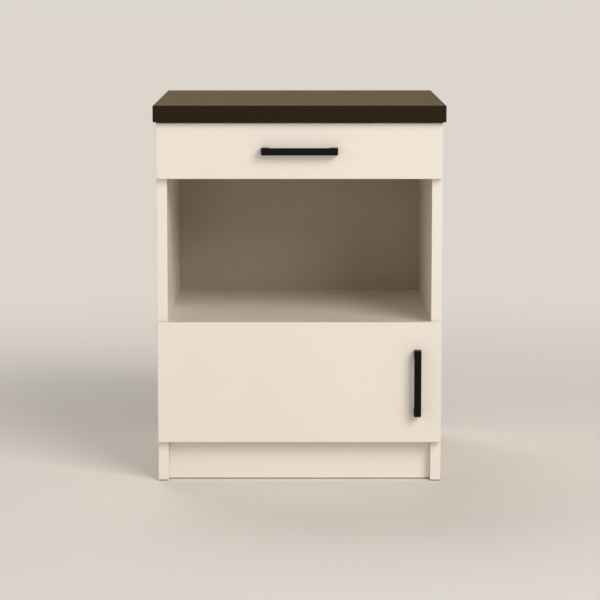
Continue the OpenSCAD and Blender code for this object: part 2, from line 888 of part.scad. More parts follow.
// Channel-shaped arm: two cheeks that carry the link's pin, and the web over them
module hinge_arm(z) {
    skirt_x = panel_x + arm_skirt_gap;
    neck_half = arm_neck - 0.4;
    color(zinc) at_hinge(z) difference() {
        union() {
            for (side = [-1, 1])
                translate([0, 0, side * (cheek_in + cheek_t / 2) - cheek_t / 2]) linear_extrude(cheek_t) {
                    translate(arm_pivot) circle(r = arm_neck);
                    polygon([
                        arm_pivot - [neck_half, 0], arm_pivot + [neck_half, 0],
                        [arm_top_x + cheek_t, arm_web_y], [arm_top_x + cheek_t, arm_back_y],
                        [skirt_x, arm_back_y], [skirt_x, arm_pivot[1] + arm_slope_l]
                    ]);
                }
            block([arm_top_x, arm_web_y, -cheek_out], [arm_top_x + cheek_t, arm_back_y, cheek_out]);
        }
        translate([arm_pivot[0], arm_pivot[1], 0])
            cylinder(h = 2 * cheek_out + 2, r = pin_r + fit, center = true);
        at_arm_screws() arm_screw(fit);
    }
}

module hinge_arm_pins() {
    color(dark_zinc) for (z = hinge_zs) at_hinge(z)
        translate([arm_pivot[0], arm_pivot[1], 0]) cylinder(h = 2 * cheek_out, r = pin_r, center = true);
}

module arm_screw(grow = 0) {
    machine_screw(cheek_t + arm_screw_bite, arm_screw_r, arm_screw_head_r, arm_screw_head_h, grow);
}

module hinge_arm_screws() {
    color(zinc) for (z = hinge_zs) at_hinge(z) at_arm_screws() arm_screw();
}

// Plate on the side panel: two screw wings and the ridge that carries the arm
module hinge_plate(z) {
    wing_w = 14;
    wing_z = plate_screw_z + 6;
    color(zinc) at_hinge(z) difference() {
        union() {
            block([panel_x, plate_screw_y - wing_w / 2, -wing_z],
                  [panel_x + plate_t, plate_screw_y + wing_w / 2, wing_z]);
            block([panel_x, ridge_y, -link_h / 2], [arm_top_x, ridge_y + ridge_l, link_h / 2]);
        }
        at_plate_screws() wood_screw(runner_screw_l, fit);
        at_arm_screws() arm_screw(fit);
    }
}

module hinge_plate_screws() {
    color(zinc) for (z = hinge_zs) at_hinge(z) at_plate_screws() wood_screw(runner_screw_l);
}

// ---- Nodes ----

worktop();
side_panel(-1);  // side_panel_left
side_panel(1);  // side_panel_right
bottom_panel();
niche_shelf();
drawer_deck();
top_rail_front();
top_rail_rear();
back_panel();
hanging_rail(hanging_z_upper);  // hanging_rail_upper
hanging_rail(hanging_z_lower);  // hanging_rail_lower
plinth();
plinth_blocks();
plinth_block_screws();
glide(-1, carcass_y + glide_inset);  // glide_front_left
glide(1, carcass_y + glide_inset);  // glide_front_right
glide(-1, rear_y - glide_inset);  // glide_rear_left
glide(1, rear_y - glide_inset);  // glide_rear_right
cam_locks();
cam_bolts();
dowels();
worktop_screws();
runner_channel(-1);  // runner_channel_left
runner_channel(1);  // runner_channel_right
runner_channel_screws();
hinge_plate(hinge_zs[1]);  // hinge_plate_upper
hinge_plate(hinge_zs[0]);  // hinge_plate_lower
hinge_arm(hinge_zs[1]);  // hinge_arm_upper
hinge_arm(hinge_zs[0]);  // hinge_arm_lower
hinge_arm_pins();
hinge_plate_screws();
hinge_arm_screws();
drawer_front();
drawer_side(-1);  // drawer_side_left
drawer_side(1);  // drawer_side_right
drawer_back();
drawer_bottom();
drawer_handle();
drawer_handle_screws();
drawer_cams();
drawer_cam_bolts();
drawer_back_screws();
runner_slide(-1);  // runner_slide_left
runner_slide(1);  // runner_slide_right
runner_slide_screws();
ball_cage(-1);  // ball_cage_left
ball_cage(1);  // ball_cage_right
runner_balls(-1);  // runner_balls_left
runner_balls(1);  // runner_balls_right
door_panel();
door_handle();
door_handle_screws();
hinge_cup(hinge_zs[1]);  // hinge_cup_upper
hinge_cup(hinge_zs[0]);  // hinge_cup_lower
hinge_cup_pins();
hinge_cup_screws();
door_buffers();
hinge_link(hinge_zs[1]);  // hinge_link_upper
hinge_link(hinge_zs[0]);  // hinge_link_lower
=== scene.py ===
"""Looks of the kitchen cabinet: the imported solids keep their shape, and get softened
edges, finishes, detailed screws and a plain studio around them. Metres, +Z up."""

import json
import math

import bmesh
import bpy
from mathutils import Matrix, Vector


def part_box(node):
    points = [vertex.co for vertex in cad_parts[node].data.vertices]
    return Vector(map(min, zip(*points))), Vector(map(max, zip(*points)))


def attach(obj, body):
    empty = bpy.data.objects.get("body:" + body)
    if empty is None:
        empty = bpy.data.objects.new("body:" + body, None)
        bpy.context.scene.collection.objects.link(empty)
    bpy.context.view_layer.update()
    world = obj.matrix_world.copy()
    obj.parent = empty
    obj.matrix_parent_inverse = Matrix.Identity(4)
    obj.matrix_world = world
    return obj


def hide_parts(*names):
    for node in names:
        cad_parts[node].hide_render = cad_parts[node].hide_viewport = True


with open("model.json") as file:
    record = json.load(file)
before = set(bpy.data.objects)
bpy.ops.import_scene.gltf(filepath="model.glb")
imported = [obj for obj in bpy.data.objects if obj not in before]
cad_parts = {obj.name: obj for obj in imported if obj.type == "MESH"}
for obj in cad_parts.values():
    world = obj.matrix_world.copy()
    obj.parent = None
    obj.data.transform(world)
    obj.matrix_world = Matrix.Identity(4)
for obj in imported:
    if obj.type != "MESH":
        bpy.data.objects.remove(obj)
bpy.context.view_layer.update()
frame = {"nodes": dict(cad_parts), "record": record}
NODES = frame["nodes"]
RECORD = frame["record"]
BODY_OF = {node: body for body, nodes in RECORD["behaviour"]["bodies"].items() for node in nodes}

# ---- Sizes, in metres ----

BAND_T = 0.001            # thickness of the plastic edging on the boards
BAND_FADE = 0.00005       # width of the change from edging to skin
SEAM_HALF = 0.00009       # half width of the glue line behind the edging
CORE_DEPTH = 0.0007       # past this depth inside a board its core shows
CORE_FADE = 0.0002        # depth over which the core takes over from the skin
RIM = 0.0002              # skin thickness seen at a bare edge
RIM_FADE = 0.00015        # width of the change from bare core to skin there
RUB = (0.0002, 0.0011)    # distances from an edge at which its rubbing starts and ends to fade
RUB_TINT, RUB_DULL = 0.28, 0.12  # how much a rubbed edge is darker and rougher
CORE_ROUGH = 0.86         # roughness of a bare core

BOARD_EDGE = 0.0006       # rounding of a board's edges
FRONT_EDGE = 0.0012       # rounding of the door and the drawer front
WORKTOP_EDGE = 0.0022     # rounding of the worktop
SHEET_EDGE = 0.0003       # rounding of the hardboard sheets
HANDLE_EDGE = 0.0009      # rounding of the handles
METAL_EDGE = 0.00025      # rounding of pressed metal

WELD = 0.000002           # corners closer than this are one corner
FLAT_ANGLE = 0.2          # degrees; faces that turn less than this are one flat face
EDGE_ANGLE = 32.0         # degrees; edges that turn more than this are rounded
SMOOTH_ANGLE = 35.0       # degrees; faces that turn less than this shade as one
ROUNDING_ANGLE = 95.0     # degrees; the whole rounding of an edge turns less than this
SCREW_ANGLE = 28.0        # degrees; faces of a screw that turn less than this shade as one
FOLD_ANGLE = 60.0         # degrees; the folds of a runner turn more than this

SLOT_L = 0.012            # length of a runner's mounting slots
SLOT_R = 0.0022           # half their height
SLOT_CORNERS = 24         # corners round a slot's outline
SLOT_PAST = 0.005         # how far the tool that cuts the slots reaches past the web
RUNNER_SLOTS = (0.080, 0.120, 0.160, 0.200, 0.300, 0.340, 0.380, 0.420)  # from the front

RING_CORNERS = 32         # corners round a screw
TIP_R, TIP_L = 0.15, 1.6  # a screw's point: its radius and length, in shank radii
CROSS_MOUTH = (0.56, 0.13)  # the recess at its mouth: reach and half width, in head radii
CROSS_FLOOR = (0.34, 0.09)  # the same at its floor
CROSS_DEPTH = 0.42        # its depth, in head radii
FIRST_TURN, NEXT_TURN = 0.55, 1.9  # radians; how the recesses are turned
DOMED_HEAD = ((0.0009, 1.0), (0.0004, 0.96), (0.0001, 0.86), (0.0, 0.72))  # depth, radius share
FLAT_HEAD = ((0.0003, 0.0001), (0.00005, 0.0001), (0.0, 0.0002))  # depth, inset
END_NEAR = 0.0002         # corners this near a screw's end lie on it
SEAT_PAST = 0.0005        # a domed head's seat is at least this far below its top

# ---- Colours, linear ----

MELAMINE = (0.800, 0.732, 0.652)
EDGING = (0.812, 0.744, 0.664)
GLUE_LINE = (0.50, 0.41, 0.31)
LAMINATE_DARK = (0.0125, 0.0080, 0.0028)
LAMINATE_LIGHT = (0.0225, 0.0155, 0.0070)
BLACK_COAT = (0.0036, 0.0030, 0.0018)
BLACK_WORN = (0.0080, 0.0070, 0.0050)
# partly painted shade: the back's beige paint is darkened to stand for the dim light in the
# niche
BACK_PAINT_AND_SHADE = (0.42, 0.355, 0.265)
CHIP_LIGHT = (0.56, 0.40, 0.25)
CHIP_DARK = (0.38, 0.25, 0.14)
CHIP_DUST = (0.20, 0.12, 0.065)
FIBRE_DARK = (0.20, 0.115, 0.058)
FIBRE_LIGHT = (0.31, 0.19, 0.10)
ZINC = (0.60, 0.60, 0.605)
ZINC_SLIDE = (0.46, 0.46, 0.47)
ZINC_CAST = (0.50, 0.50, 0.51)
ZINC_SCREW = (0.62, 0.61, 0.59)
NICKEL = (0.63, 0.61, 0.57)
BALL_STEEL = (0.66, 0.66, 0.67)
BEECH_DARK = (0.58, 0.38, 0.20)
BEECH_LIGHT = (0.70, 0.50, 0.30)
BEECH_RAY = (0.36, 0.20, 0.10)
PLASTIC_NEW = (0.80, 0.785, 0.74)
PLASTIC_AGED = (0.74, 0.715, 0.65)
GLARE_TINT = (1.0, 0.86, 0.62)
BLOOM_TINT = (1.0, 0.66, 0.22)
STUDIO_FLOOR = (0.81, 0.763, 0.700)
BACKDROP = (0.715, 0.668, 0.607)
WARM_WHITE = (1.0, 0.985, 0.96)
WHITE = (1.0, 1.0, 1.0)

# ---- Studio, in metres, degrees and watts ----

FLOOR_R = 60.0            # radius of the floor
FADE = (0.7, 2.8)         # distances at which the floor starts and ends its fade
FILL = 0.24               # strength of the light from all round
LAMPS = (                 # name, place, target, side of the square, power, colour
    ("key", (3.3, -5.0, 3.8), (0.0, -0.1, 0.45), 3.8, 313.0, WARM_WHITE),
    ("left_fill", (-4.6, -3.4, 2.4), (0.0, 0.0, 0.45), 3.0, 40.0, WHITE),
    ("front_fill", (-0.5, -5.5, 0.5), (0.0, 0.0, 0.35), 2.5, 28.0, WHITE),
    ("back_fill", (-1.2, 3.4, 5.4), (0.0, 0.0, 0.45), 3.0, 110.0, WHITE),
)
SENSOR_W = 36.0           # width of the camera's sensor, millimetres
LENS = 146.97             # focal length, millimetres
CAMERA_PLACE = (0.001, -5.383, 1.095)
CAMERA_DOWN = 7.86        # how far the camera looks down


# ---- Node building ----

class Finish:
    """A material with one Principled shader, and short calls for its other nodes."""

    def __init__(self, name):
        self.material = bpy.data.materials.new(name)
        self.material.use_nodes = True
        self.tree = self.material.node_tree
        self.shader = self.tree.nodes["Principled BSDF"]
        self.place = self.add("ShaderNodeTexCoord").outputs["Object"]

    def add(self, kind, **settings):
        node = self.tree.nodes.new(kind)
        for key, value in settings.items():
            setattr(node, key, value)
        return node

    def put(self, value, socket):
        if isinstance(value, bpy.types.NodeSocket):
            self.tree.links.new(value, socket)
        elif hasattr(value, "__len__") and len(value) == 3 and socket.type == "RGBA":
            socket.default_value = (*value, 1.0)
        else:
            socket.default_value = value

    def set(self, **values):
        for key, value in values.items():
            self.put(value, self.shader.inputs[key.replace("_", " ")])

    def math(self, operation, a, b=0.0):
        node = self.add("ShaderNodeMath", operation=operation)
        self.put(a, node.inputs[0])
        self.put(b, node.inputs[1])
        return node.outputs[0]

    def spread(self, value, low, high, to_low=0.0, to_high=1.0):
        """value taken smoothly from low..high to to_low..to_high."""
        node = self.add("ShaderNodeMapRange", interpolation_type="SMOOTHSTEP")
        for socket, number in zip(node.inputs, (value, low, high, to_low, to_high)):
            self.put(number, socket)
        return node.outputs[0]

    def mix(self, factor, a, b):
        node = self.add("ShaderNodeMix", data_type="RGBA")
        self.put(factor, node.inputs[0])
        self.put(a, node.inputs[6])
        self.put(b, node.inputs[7])
        return node.outputs[2]

    def stretched(self, factors):
        node = self.add("ShaderNodeMapping")
        self.put(self.place, node.inputs["Vector"])
        node.inputs["Scale"].default_value = factors
        return node.outputs[0]

    def noise(self, scale, detail=2.0, roughness=0.5, factors=None):
        node = self.add("ShaderNodeTexNoise")
        self.put(self.stretched(factors) if factors else self.place, node.inputs["Vector"])
        node.inputs["Scale"].default_value = scale
        node.inputs["Detail"].default_value = detail
        node.inputs["Roughness"].default_value = roughness
        return node.outputs[0]

    def cells(self, scale, factors=None):
        """One random value in each cell of a cellular pattern."""
        node = self.add("ShaderNodeTexVoronoi")
        self.put(self.stretched(factors) if factors else self.place, node.inputs["Vector"])
        node.inputs["Scale"].default_value = scale
        split = self.add("ShaderNodeSeparateColor")
        self.put(node.outputs["Color"], split.inputs[0])
        return split.outputs[0]

    def axes(self):
        split = self.add("ShaderNodeSeparateXYZ")
        self.put(self.place, split.inputs[0])
        return split.outputs

    def bump(self, height, distance, strength=1.0, over=None):
        node = self.add("ShaderNodeBump")
        self.put(height, node.inputs["Height"])
        node.inputs["Distance"].default_value = distance
        node.inputs["Strength"].default_value = strength
        if over is not None:
            self.put(over, node.inputs["Normal"])
        return node.outputs[0]


# ---- Board finishes ----

def melamine(f):
    """Warm white paper skin: faint clouds in the colour, satin with handling marks."""
    cloud = f.spread(f.noise(2.3, 3.0), 0.3, 0.7, 0.0, 1.0)
    colour = f.mix(cloud, [c * 0.985 for c in MELAMINE], [c * 1.012 for c in MELAMINE])
    peel = f.noise(1400.0, 2.0)
    marks = f.noise(9.0, 5.0, 0.6)
    return colour, peel, 0.00005, f.spread(marks, 0.35, 0.7, 0.38, 0.46)


def dark_laminate(f):
    """Dark brown laminate with a fine fleck and a fine grain."""
    fleck = f.spread(f.noise(620.0, 3.0, 0.65), 0.42, 0.66)
    colour = f.mix(fleck, LAMINATE_DARK, LAMINATE_LIGHT)
    grain = f.noise(900.0, 3.0, 0.6)
    marks = f.noise(7.0, 5.0, 0.6)
    return colour, grain, 0.00006, f.spread(marks, 0.35, 0.7, 0.63, 0.65)


def back_paint_and_shade(f):
    """Thin beige paint on hardboard, with the faint print of the fibres under it. The beige is
    partly painted shade: it is darker than the boards, to stand for the dim niche.
    """
    cloud = f.spread(f.noise(3.1, 3.0), 0.3, 0.7)
    colour = f.mix(cloud, [c * 0.97 for c in BACK_PAINT_AND_SHADE], [c * 1.01 for c in BACK_PAINT_AND_SHADE])
    fibres = f.noise(500.0, 4.0, 0.6)
    return colour, fibres, 0.00005, f.spread(f.noise(11.0, 4.0), 0.35, 0.7, 0.5, 0.6)


def chipboard(f, flat_axis):
    """Bare particle board: flakes that lie in the plane of the board."""
    factors = [1.0, 1.0, 1.0]
    factors[flat_axis] = 2.4
    flake = f.cells(430.0, factors)
    dust = f.noise(1500.0, 3.0, 0.6)
    chips = f.mix(flake, CHIP_LIGHT, CHIP_DARK)
    colour = f.mix(f.spread(dust, 0.5, 0.75), chips, CHIP_DUST)
    return colour, f.math("ADD", flake, dust), 0.00025


def fibreboard(f, flat_axis):
    """Brown wet-pressed hardboard: felted fibres and the print of the press screen."""
    fibres = f.noise(420.0, 5.0, 0.7, (1.0, 1.0, 1.6))
    colour = f.mix(f.spread(fibres, 0.3, 0.7), FIBRE_DARK, FIBRE_LIGHT)
    ribs = []
    for axis, output in enumerate(f.axes()):
        if axis != flat_axis:
            ribs.append(f.math("SINE", f.math("MULTIPLY", output, 4200.0)))
    screen = f.math("MULTIPLY", ribs[0], ribs[1])
    return colour, f.math("ADD", fibres, f.math("MULTIPLY", screen, 0.35)), 0.00018


# A skin returns its colour, the height and scale of its bump, and its roughness. A core
# returns its colour and the height and scale of its bump.

def board_finish(node, skin=melamine, core=chipboard, bands=(), bare=()):
    """Finish of one board. bands names its edged sides and bare its uncovered ones,
    such as -y for the side that faces the front. Bores and grooves show the core."""
    lo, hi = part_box(node)
    f = Finish(node + "_finish")
    side = {}
    for name, output, low, high in zip("xyz", f.axes(), lo, hi):
        side["-" + name] = f.math("SUBTRACT", output, low)
        side["+" + name] = f.math("SUBTRACT", high, output)
    near = [f.math("MINIMUM", side["-" + n], side["+" + n]) for n in "xyz"]
    low, high = f.math("MINIMUM", near[0], near[1]), f.math("MAXIMUM", near[0], near[1])
    depth = f.math("MINIMUM", low, near[2])
    to_edge = f.math("MAXIMUM", low, f.math("MINIMUM", high, near[2]))

    colour, height, height_m, roughness = skin(f)
    size = hi - lo
    flat_axis = min(range(3), key=lambda i: size[i])
    core_colour, core_height, core_height_m = core(f, flat_axis)

    core_mask = f.spread(depth, CORE_DEPTH, CORE_DEPTH + CORE_FADE)
    for name in bare:
        shown = f.spread(side[name], RIM, RIM + RIM_FADE, 1.0, 0.0)
        core_mask = f.math("MAXIMUM", core_mask, shown)
    for name in bands:
        on_band = f.spread(side[name], BAND_T, BAND_T + BAND_FADE, 1.0, 0.0)
        colour = f.mix(on_band, colour, EDGING)
        off_seam = f.math("ABSOLUTE", f.math("SUBTRACT", side[name], BAND_T))
        seam = f.spread(off_seam, SEAM_HALF * 0.5, SEAM_HALF * 1.5, 0.8, 0.0)
        colour = f.mix(seam, colour, GLUE_LINE)

    # Edges are rubbed: a broken line where the skin is duller and a little darker
    rub = f.math("MULTIPLY", f.spread(to_edge, *RUB, 1.0, 0.0),
                 f.spread(f.noise(55.0, 5.0, 0.7), 0.5, 0.75))
    colour = f.mix(f.math("MULTIPLY", rub, RUB_TINT), colour, GLUE_LINE)
    colour = f.mix(core_mask, colour, core_colour)
    worn = f.math("ADD", roughness, f.math("MULTIPLY", rub, RUB_DULL))
    rough = f.math("MAXIMUM", worn, f.math("MULTIPLY", core_mask, CORE_ROUGH))
    skin_bump = f.bump(height, height_m)
    core_bump = f.bump(f.math("MULTIPLY", core_height, core_mask), core_height_m, 1.0, skin_bump)
    f.set(Base_Color=colour, Roughness=rough, Normal=core_bump)
    return f.material


def worktop_finish():
    """Low gloss, with a warm bloom that shows where the top is seen at a low angle."""
    material = board_finish("worktop", skin=dark_laminate, bare=("+y",))
    inputs = material.node_tree.nodes["Principled BSDF"].inputs
    inputs["Specular IOR Level"].default_value = 0.1
    inputs["Specular Tint"].default_value = (*GLARE_TINT, 1.0)
    inputs["Sheen Weight"].default_value = 0.14
    inputs["Sheen Roughness"].default_value = 0.35
    inputs["Sheen Tint"].default_value = (*BLOOM_TINT, 1.0)
    return material


# ---- Metal and plastic finishes ----

def zinc(name, tint, low, high, along):
    """Plated steel: fine brushing along one axis and faint clouds. low and high are the
    bounds of its roughness."""
    f = Finish(name)
    factors = [1.0, 1.0, 1.0]
    factors[along] = 0.06
    lines = f.noise(2600.0, 2.0, 0.6, factors)
    cloud = f.spread(f.noise(38.0, 4.0, 0.6), 0.32, 0.7)
    colour = f.mix(cloud, [c * 0.94 for c in tint], [c * 1.03 for c in tint])
    mixed = f.math("ADD", f.math("MULTIPLY", lines, 0.75), f.math("MULTIPLY", cloud, 0.25))
    rough = f.spread(mixed, 0.2, 0.85, low, high)
    f.set(Base_Color=colour, Metallic=1.0, Roughness=rough, Normal=f.bump(lines, 0.00002, 0.6))
    return f.material


def black_coat(name):
    """Black powder coat: leathery fine bump, satin, with faint rubbed patches."""
    f = Finish(name)
    leather = f.noise(2100.0, 3.0, 0.55)
    marks = f.noise(60.0, 5.0, 0.65)
    colour = f.mix(f.spread(marks, 0.5, 0.8), BLACK_COAT, BLACK_WORN)
    f.set(Base_Color=colour, Roughness=f.spread(marks, 0.3, 0.75, 0.40, 0.52),
          Normal=f.bump(leather, 0.00005, 0.8), Specular_IOR_Level=0.08)
    return f.material


def beech(name):
    """Beech dowel: straight grain and short darker rays."""
    f = Finish(name)
    grain = f.noise(900.0, 3.0, 0.6, (0.05, 1.0, 1.0))
    rays = f.spread(f.noise(1600.0, 1.0, 0.5, (0.3, 1.0, 1.0)), 0.6, 0.7)
    colour = f.mix(grain, BEECH_DARK, BEECH_LIGHT)
    colour = f.mix(f.math("MULTIPLY", rays, 0.5), colour, BEECH_RAY)
    f.set(Base_Color=colour, Roughness=f.spread(grain, 0.3, 0.7, 0.55, 0.68),
          Normal=f.bump(grain, 0.00006))
    return f.material


def white_plastic(name):
    """Moulded white plastic: spark-eroded grain and slight yellowing."""
    f = Finish(name)
    spark = f.noise(3000.0, 2.0, 0.5)
    age = f.spread(f.noise(30.0, 4.0, 0.6), 0.35, 0.75)
    colour = f.mix(age, PLASTIC_NEW, PLASTIC_AGED)
    f.set(Base_Color=colour, Roughness=f.spread(age, 0.0, 1.0, 0.36, 0.46),
          Normal=f.bump(spark, 0.00003, 0.7))
    return f.material


# ---- Softened edges ----

def link(obj):
    bpy.context.scene.collection.objects.link(obj)
    return obj


def new_object(name, bm):
    mesh = bpy.data.meshes.new(name)
    bm.to_mesh(mesh)
    bm.free()
    return link(bpy.data.objects.new(name, mesh))


def rounded_block(lo, hi, radius):
    """A block with rounded edges, as an object of its own."""
    bm = bmesh.new()
    bmesh.ops.create_cube(bm, size=1.0)
    for v in bm.verts:
        v.co = Vector([lo[i] if v.co[i] < 0 else hi[i] for i in range(3)])
    bmesh.ops.bevel(bm, geom=bm.edges[:], offset=radius, segments=4, affect="EDGES",
                    profile=0.5)
    return new_object("rounded_block", bm)


def clean(mesh):
    """A mesh as a bmesh, its flat faces in as few pieces as there can be."""
    bm = bmesh.new()
    bm.from_mesh(mesh)
    bmesh.ops.remove_doubles(bm, verts=bm.verts, dist=WELD)
    bmesh.ops.dissolve_limit(bm, angle_limit=math.radians(FLAT_ANGLE), verts=bm.verts,
                              edges=bm.edges)
    loose = [edge for edge in bm.edges if not edge.link_faces]
    bmesh.ops.delete(bm, geom=loose, context="EDGES")
    return bm


def applied(obj):
    """The mesh of an object with its modifiers applied. The object is used up."""
    graph = bpy.context.evaluated_depsgraph_get()
    mesh = bpy.data.meshes.new_from_object(obj.evaluated_get(graph))
    bpy.data.objects.remove(obj)
    return mesh


def combine(rough, tool, operation):
    """The mesh of rough cut by tool. Both objects are used up."""
    cut = rough.modifiers.new("cut", "BOOLEAN")
    cut.operation = operation
    cut.solver = "EXACT"
    cut.object = tool
    mesh = applied(rough)
    bpy.data.objects.remove(tool)
    bm = clean(mesh)
    bm.to_mesh(mesh)
    bm.free()
    return mesh


def shade(mesh, angle):
    """Smooth shading that keeps flat faces flat: the normal at a corner is the mean, by
    area, of the faces round it that turn less than angle from the corner's own face."""
    least = math.cos(math.radians(angle))
    faces = [(face.normal.copy(), face.area, tuple(face.vertices)) for face in mesh.polygons]
    around = [[] for _ in mesh.vertices]
    for normal, area, corners in faces:
        for corner in corners:
            around[corner].append((normal, area))
    normals = []
    for own, _, corners in faces:
        for corner in corners:
            total = Vector((0.0, 0.0, 0.0))
            for normal, area in around[corner]:
                if own.dot(normal) > least:
                    total += normal * area
            normals.append(total.normalized())
    mesh.normals_split_custom_set(normals)


def stand_in(node, mesh, material, angle=SMOOTH_ANGLE):
    """A piece with this mesh in place of a CAD node."""
    mesh.name = node + "_detail"
    mesh.materials.clear()
    mesh.materials.append(material)
    for face in mesh.polygons:
        face.material_index = 0
        face.use_smooth = True
    shade(mesh, angle)
    piece = link(bpy.data.objects.new(node + "_detail", mesh))
    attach(piece, BODY_OF[node])
    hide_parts(node)


def rounded_board(node, radius, material):
    """The CAD board with its bores and grooves, its outer edges rounded."""
    lo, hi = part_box(node)
    board = new_object("board", clean(NODES[node].data))
    mesh = combine(board, rounded_block(lo, hi, radius), "INTERSECT")
    stand_in(node, mesh, material)


def softened(node, material, width=METAL_EDGE, segments=2):
    """The CAD node with its edges rounded."""
    rough = new_object("rough", clean(NODES[node].data))
    bevel = rough.modifiers.new("edges", "BEVEL")
    bevel.width = width
    bevel.segments = segments
    bevel.limit_method = "ANGLE"
    bevel.angle_limit = math.radians(EDGE_ANGLE)
    bevel.use_clamp_overlap = False
    stand_in(node, applied(rough), material, ROUNDING_ANGLE / segments)


def slot_tool(lo, hi):
    """Prisms that cut the mounting slots of a runner, through its web along X."""
    bm = bmesh.new()
    middle = (lo.z + hi.z) / 2
    for along in RUNNER_SLOTS:
        outline = []
        for i in range(SLOT_CORNERS):
            turn = 2 * math.pi * (i + 0.5) / SLOT_CORNERS
            reach = math.copysign(SLOT_L / 2 - SLOT_R, math.cos(turn))
            outline.append((lo.y + along + reach + SLOT_R * math.cos(turn),
                            middle + SLOT_R * math.sin(turn)))
        ends = [[bm.verts.new((x, y, z)) for y, z in outline]
                for x in (lo.x - SLOT_PAST, hi.x + SLOT_PAST)]
        skirt(bm, *ends)
        bm.faces.new(ends[1])
        bm.faces.new(list(reversed(ends[0])))
    bmesh.ops.recalc_face_normals(bm, faces=bm.faces)
    return new_object("slot_tool", bm)


def slotted_runner(node, material):
    """A runner's profile with softened folds and its row of mounting slots."""
    lo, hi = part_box(node)
    bm = clean(NODES[node].data)
    folds = [edge for edge in bm.edges
             if abs(edge.verts[0].co.y - edge.verts[1].co.y) > (hi.y - lo.y) * 0.9
             and edge.calc_face_angle(0.0) > math.radians(FOLD_ANGLE)]
    bmesh.ops.bevel(bm, geom=folds, offset=METAL_EDGE, segments=3, affect="EDGES",
                    profile=0.5)
    mesh = combine(new_object("runner", bm), slot_tool(lo, hi), "DIFFERENCE")
    stand_in(node, mesh, material)


def dress(node, material):
    """The CAD node with its own mesh and a finish."""
    slots = NODES[node].data.materials
    slots.clear()
    slots.append(material)


FRONT_SIDES = ("-x", "+x", "-z", "+z")
BOARDS = {                # each board's edged sides and bare sides
    "side_panel_left": (("-y",), ("+y", "-z", "+z")),
    "side_panel_right": (("-y",), ("+y", "-z", "+z")),
    "bottom_panel": (("-y",), ("+y",)),
    "niche_shelf": (("-y",), ("+y",)),
    "drawer_deck": (("-y",), ("+y",)),
    "top_rail_front": (("-y",), ("+y",)),
    "top_rail_rear": ((), ("+y", "-y")),
    "hanging_rail_upper": ((), ("+z", "-z")),
    "hanging_rail_lower": ((), ("+z", "-z")),
    "plinth": ((), ("+z", "-z")),
    "drawer_side_left": (("+z",), ("-y", "+y", "-z")),
    "drawer_side_right": (("+z",), ("-y", "+y", "-z")),
    "drawer_back": (("+z",), ("-z",)),
    "drawer_front": (FRONT_SIDES, ()),
    "door_panel": (FRONT_SIDES, ()),
}


def build_boards():
    for node, (bands, bare) in BOARDS.items():
        radius = FRONT_EDGE if bands is FRONT_SIDES else BOARD_EDGE
        rounded_board(node, radius, board_finish(node, bands=bands, bare=bare))
    rounded_board("worktop", WORKTOP_EDGE, worktop_finish())
    for node, bare in (("back_panel", "+y"), ("drawer_bottom", "-z")):
        rounded_board(node, SHEET_EDGE, board_finish(node, back_paint_and_shade, fibreboard, (), (bare,)))


def dress_metal():
    coat = black_coat("black_coat")
    for node in ("drawer_handle", "door_handle"):
        softened(node, coat, HANDLE_EDGE, 4)
    long_zinc = zinc("zinc_runner", ZINC, 0.27, 0.42, along=1)
    dark_zinc = zinc("zinc_slide", ZINC_SLIDE, 0.27, 0.42, along=1)
    cast = zinc("zinc_cast", ZINC_CAST, 0.38, 0.52, along=2)
    hinge = zinc("nickel_hinge", NICKEL, 0.20, 0.34, along=1)
    balls = zinc("ball_steel", BALL_STEEL, 0.06, 0.12, along=2)
    finishes = {
        "cam_locks": cast, "drawer_cams": cast, "cam_bolts": cast, "drawer_cam_bolts": cast,
        "hinge_plate_upper": hinge, "hinge_plate_lower": hinge,
        "hinge_arm_upper": hinge, "hinge_arm_lower": hinge,
        "hinge_cup_upper": hinge, "hinge_cup_lower": hinge,
        "hinge_link_upper": hinge, "hinge_link_lower": hinge,
        "hinge_arm_pins": hinge, "hinge_cup_pins": hinge,
    }
    for node, material in finishes.items():
        softened(node, material)
    for side in ("left", "right"):
        slotted_runner("runner_channel_" + side, long_zinc)
        slotted_runner("runner_slide_" + side, dark_zinc)
        dress("runner_balls_" + side, balls)


def dress_small_parts():
    plastic = white_plastic("white_plastic")
    for node in ("glide_front_left", "glide_front_right", "glide_rear_left", "glide_rear_right",
                 "plinth_blocks", "door_buffers", "ball_cage_left", "ball_cage_right"):
        softened(node, plastic)
    dress("dowels", beech("beech"))


# ---- Screws ----

def solids(node):
    """The separate solids of a CAD node, each as a list of its corners."""
    mesh = NODES[node].data
    keys = [tuple(round(c, 6) for c in v.co) for v in mesh.vertices]
    root = {k: k for k in keys}

    def find(k):
        while root[k] != k:
            root[k] = root[root[k]]
            k = root[k]
        return k

    for face in mesh.polygons:
        first = find(keys[face.vertices[0]])
        for i in face.vertices[1:]:
            root[find(keys[i])] = first
    groups = {}
    for k in root:
        groups.setdefault(find(k), []).append(Vector(k))
    return [groups[k] for k in sorted(groups)]


def ring(bm, centre, u, v, radius):
    """A round loop of corners."""
    turns = [2 * math.pi * i / RING_CORNERS for i in range(RING_CORNERS)]
    return [bm.verts.new(centre + u * (radius * math.cos(turn)) + v * (radius * math.sin(turn)))
            for turn in turns]


def skirt(bm, a, b):
    """A band of faces between two loops."""
    for i in range(len(a)):
        j = (i + 1) % len(a)
        bm.faces.new((a[i], a[j], b[j], b[i]))


def cross(bm, centre, u, v, radius, shares):
    """A cross-shaped loop of corners. shares gives its reach and half width in radii."""
    reach, half = (radius * share for share in shares)
    outline = [(reach, -half), (reach, half), (half, half), (half, reach), (-half, reach),
               (-half, half), (-reach, half), (-reach, -half), (-half, -half),
               (-half, -reach), (half, -reach), (half, -half)]
    return [bm.verts.new(centre + u * x + v * y) for x, y in outline]


def loop_edges(bm, loop):
    """The edges along a loop of corners, made where there is none yet."""
    return [bm.edges.get((loop[i], loop[i - 1])) or bm.edges.new((loop[i], loop[i - 1]))
            for i in range(len(loop))]


def unit(axis):
    return Vector([1.0 if i == axis % 3 else 0.0 for i in range(3)])


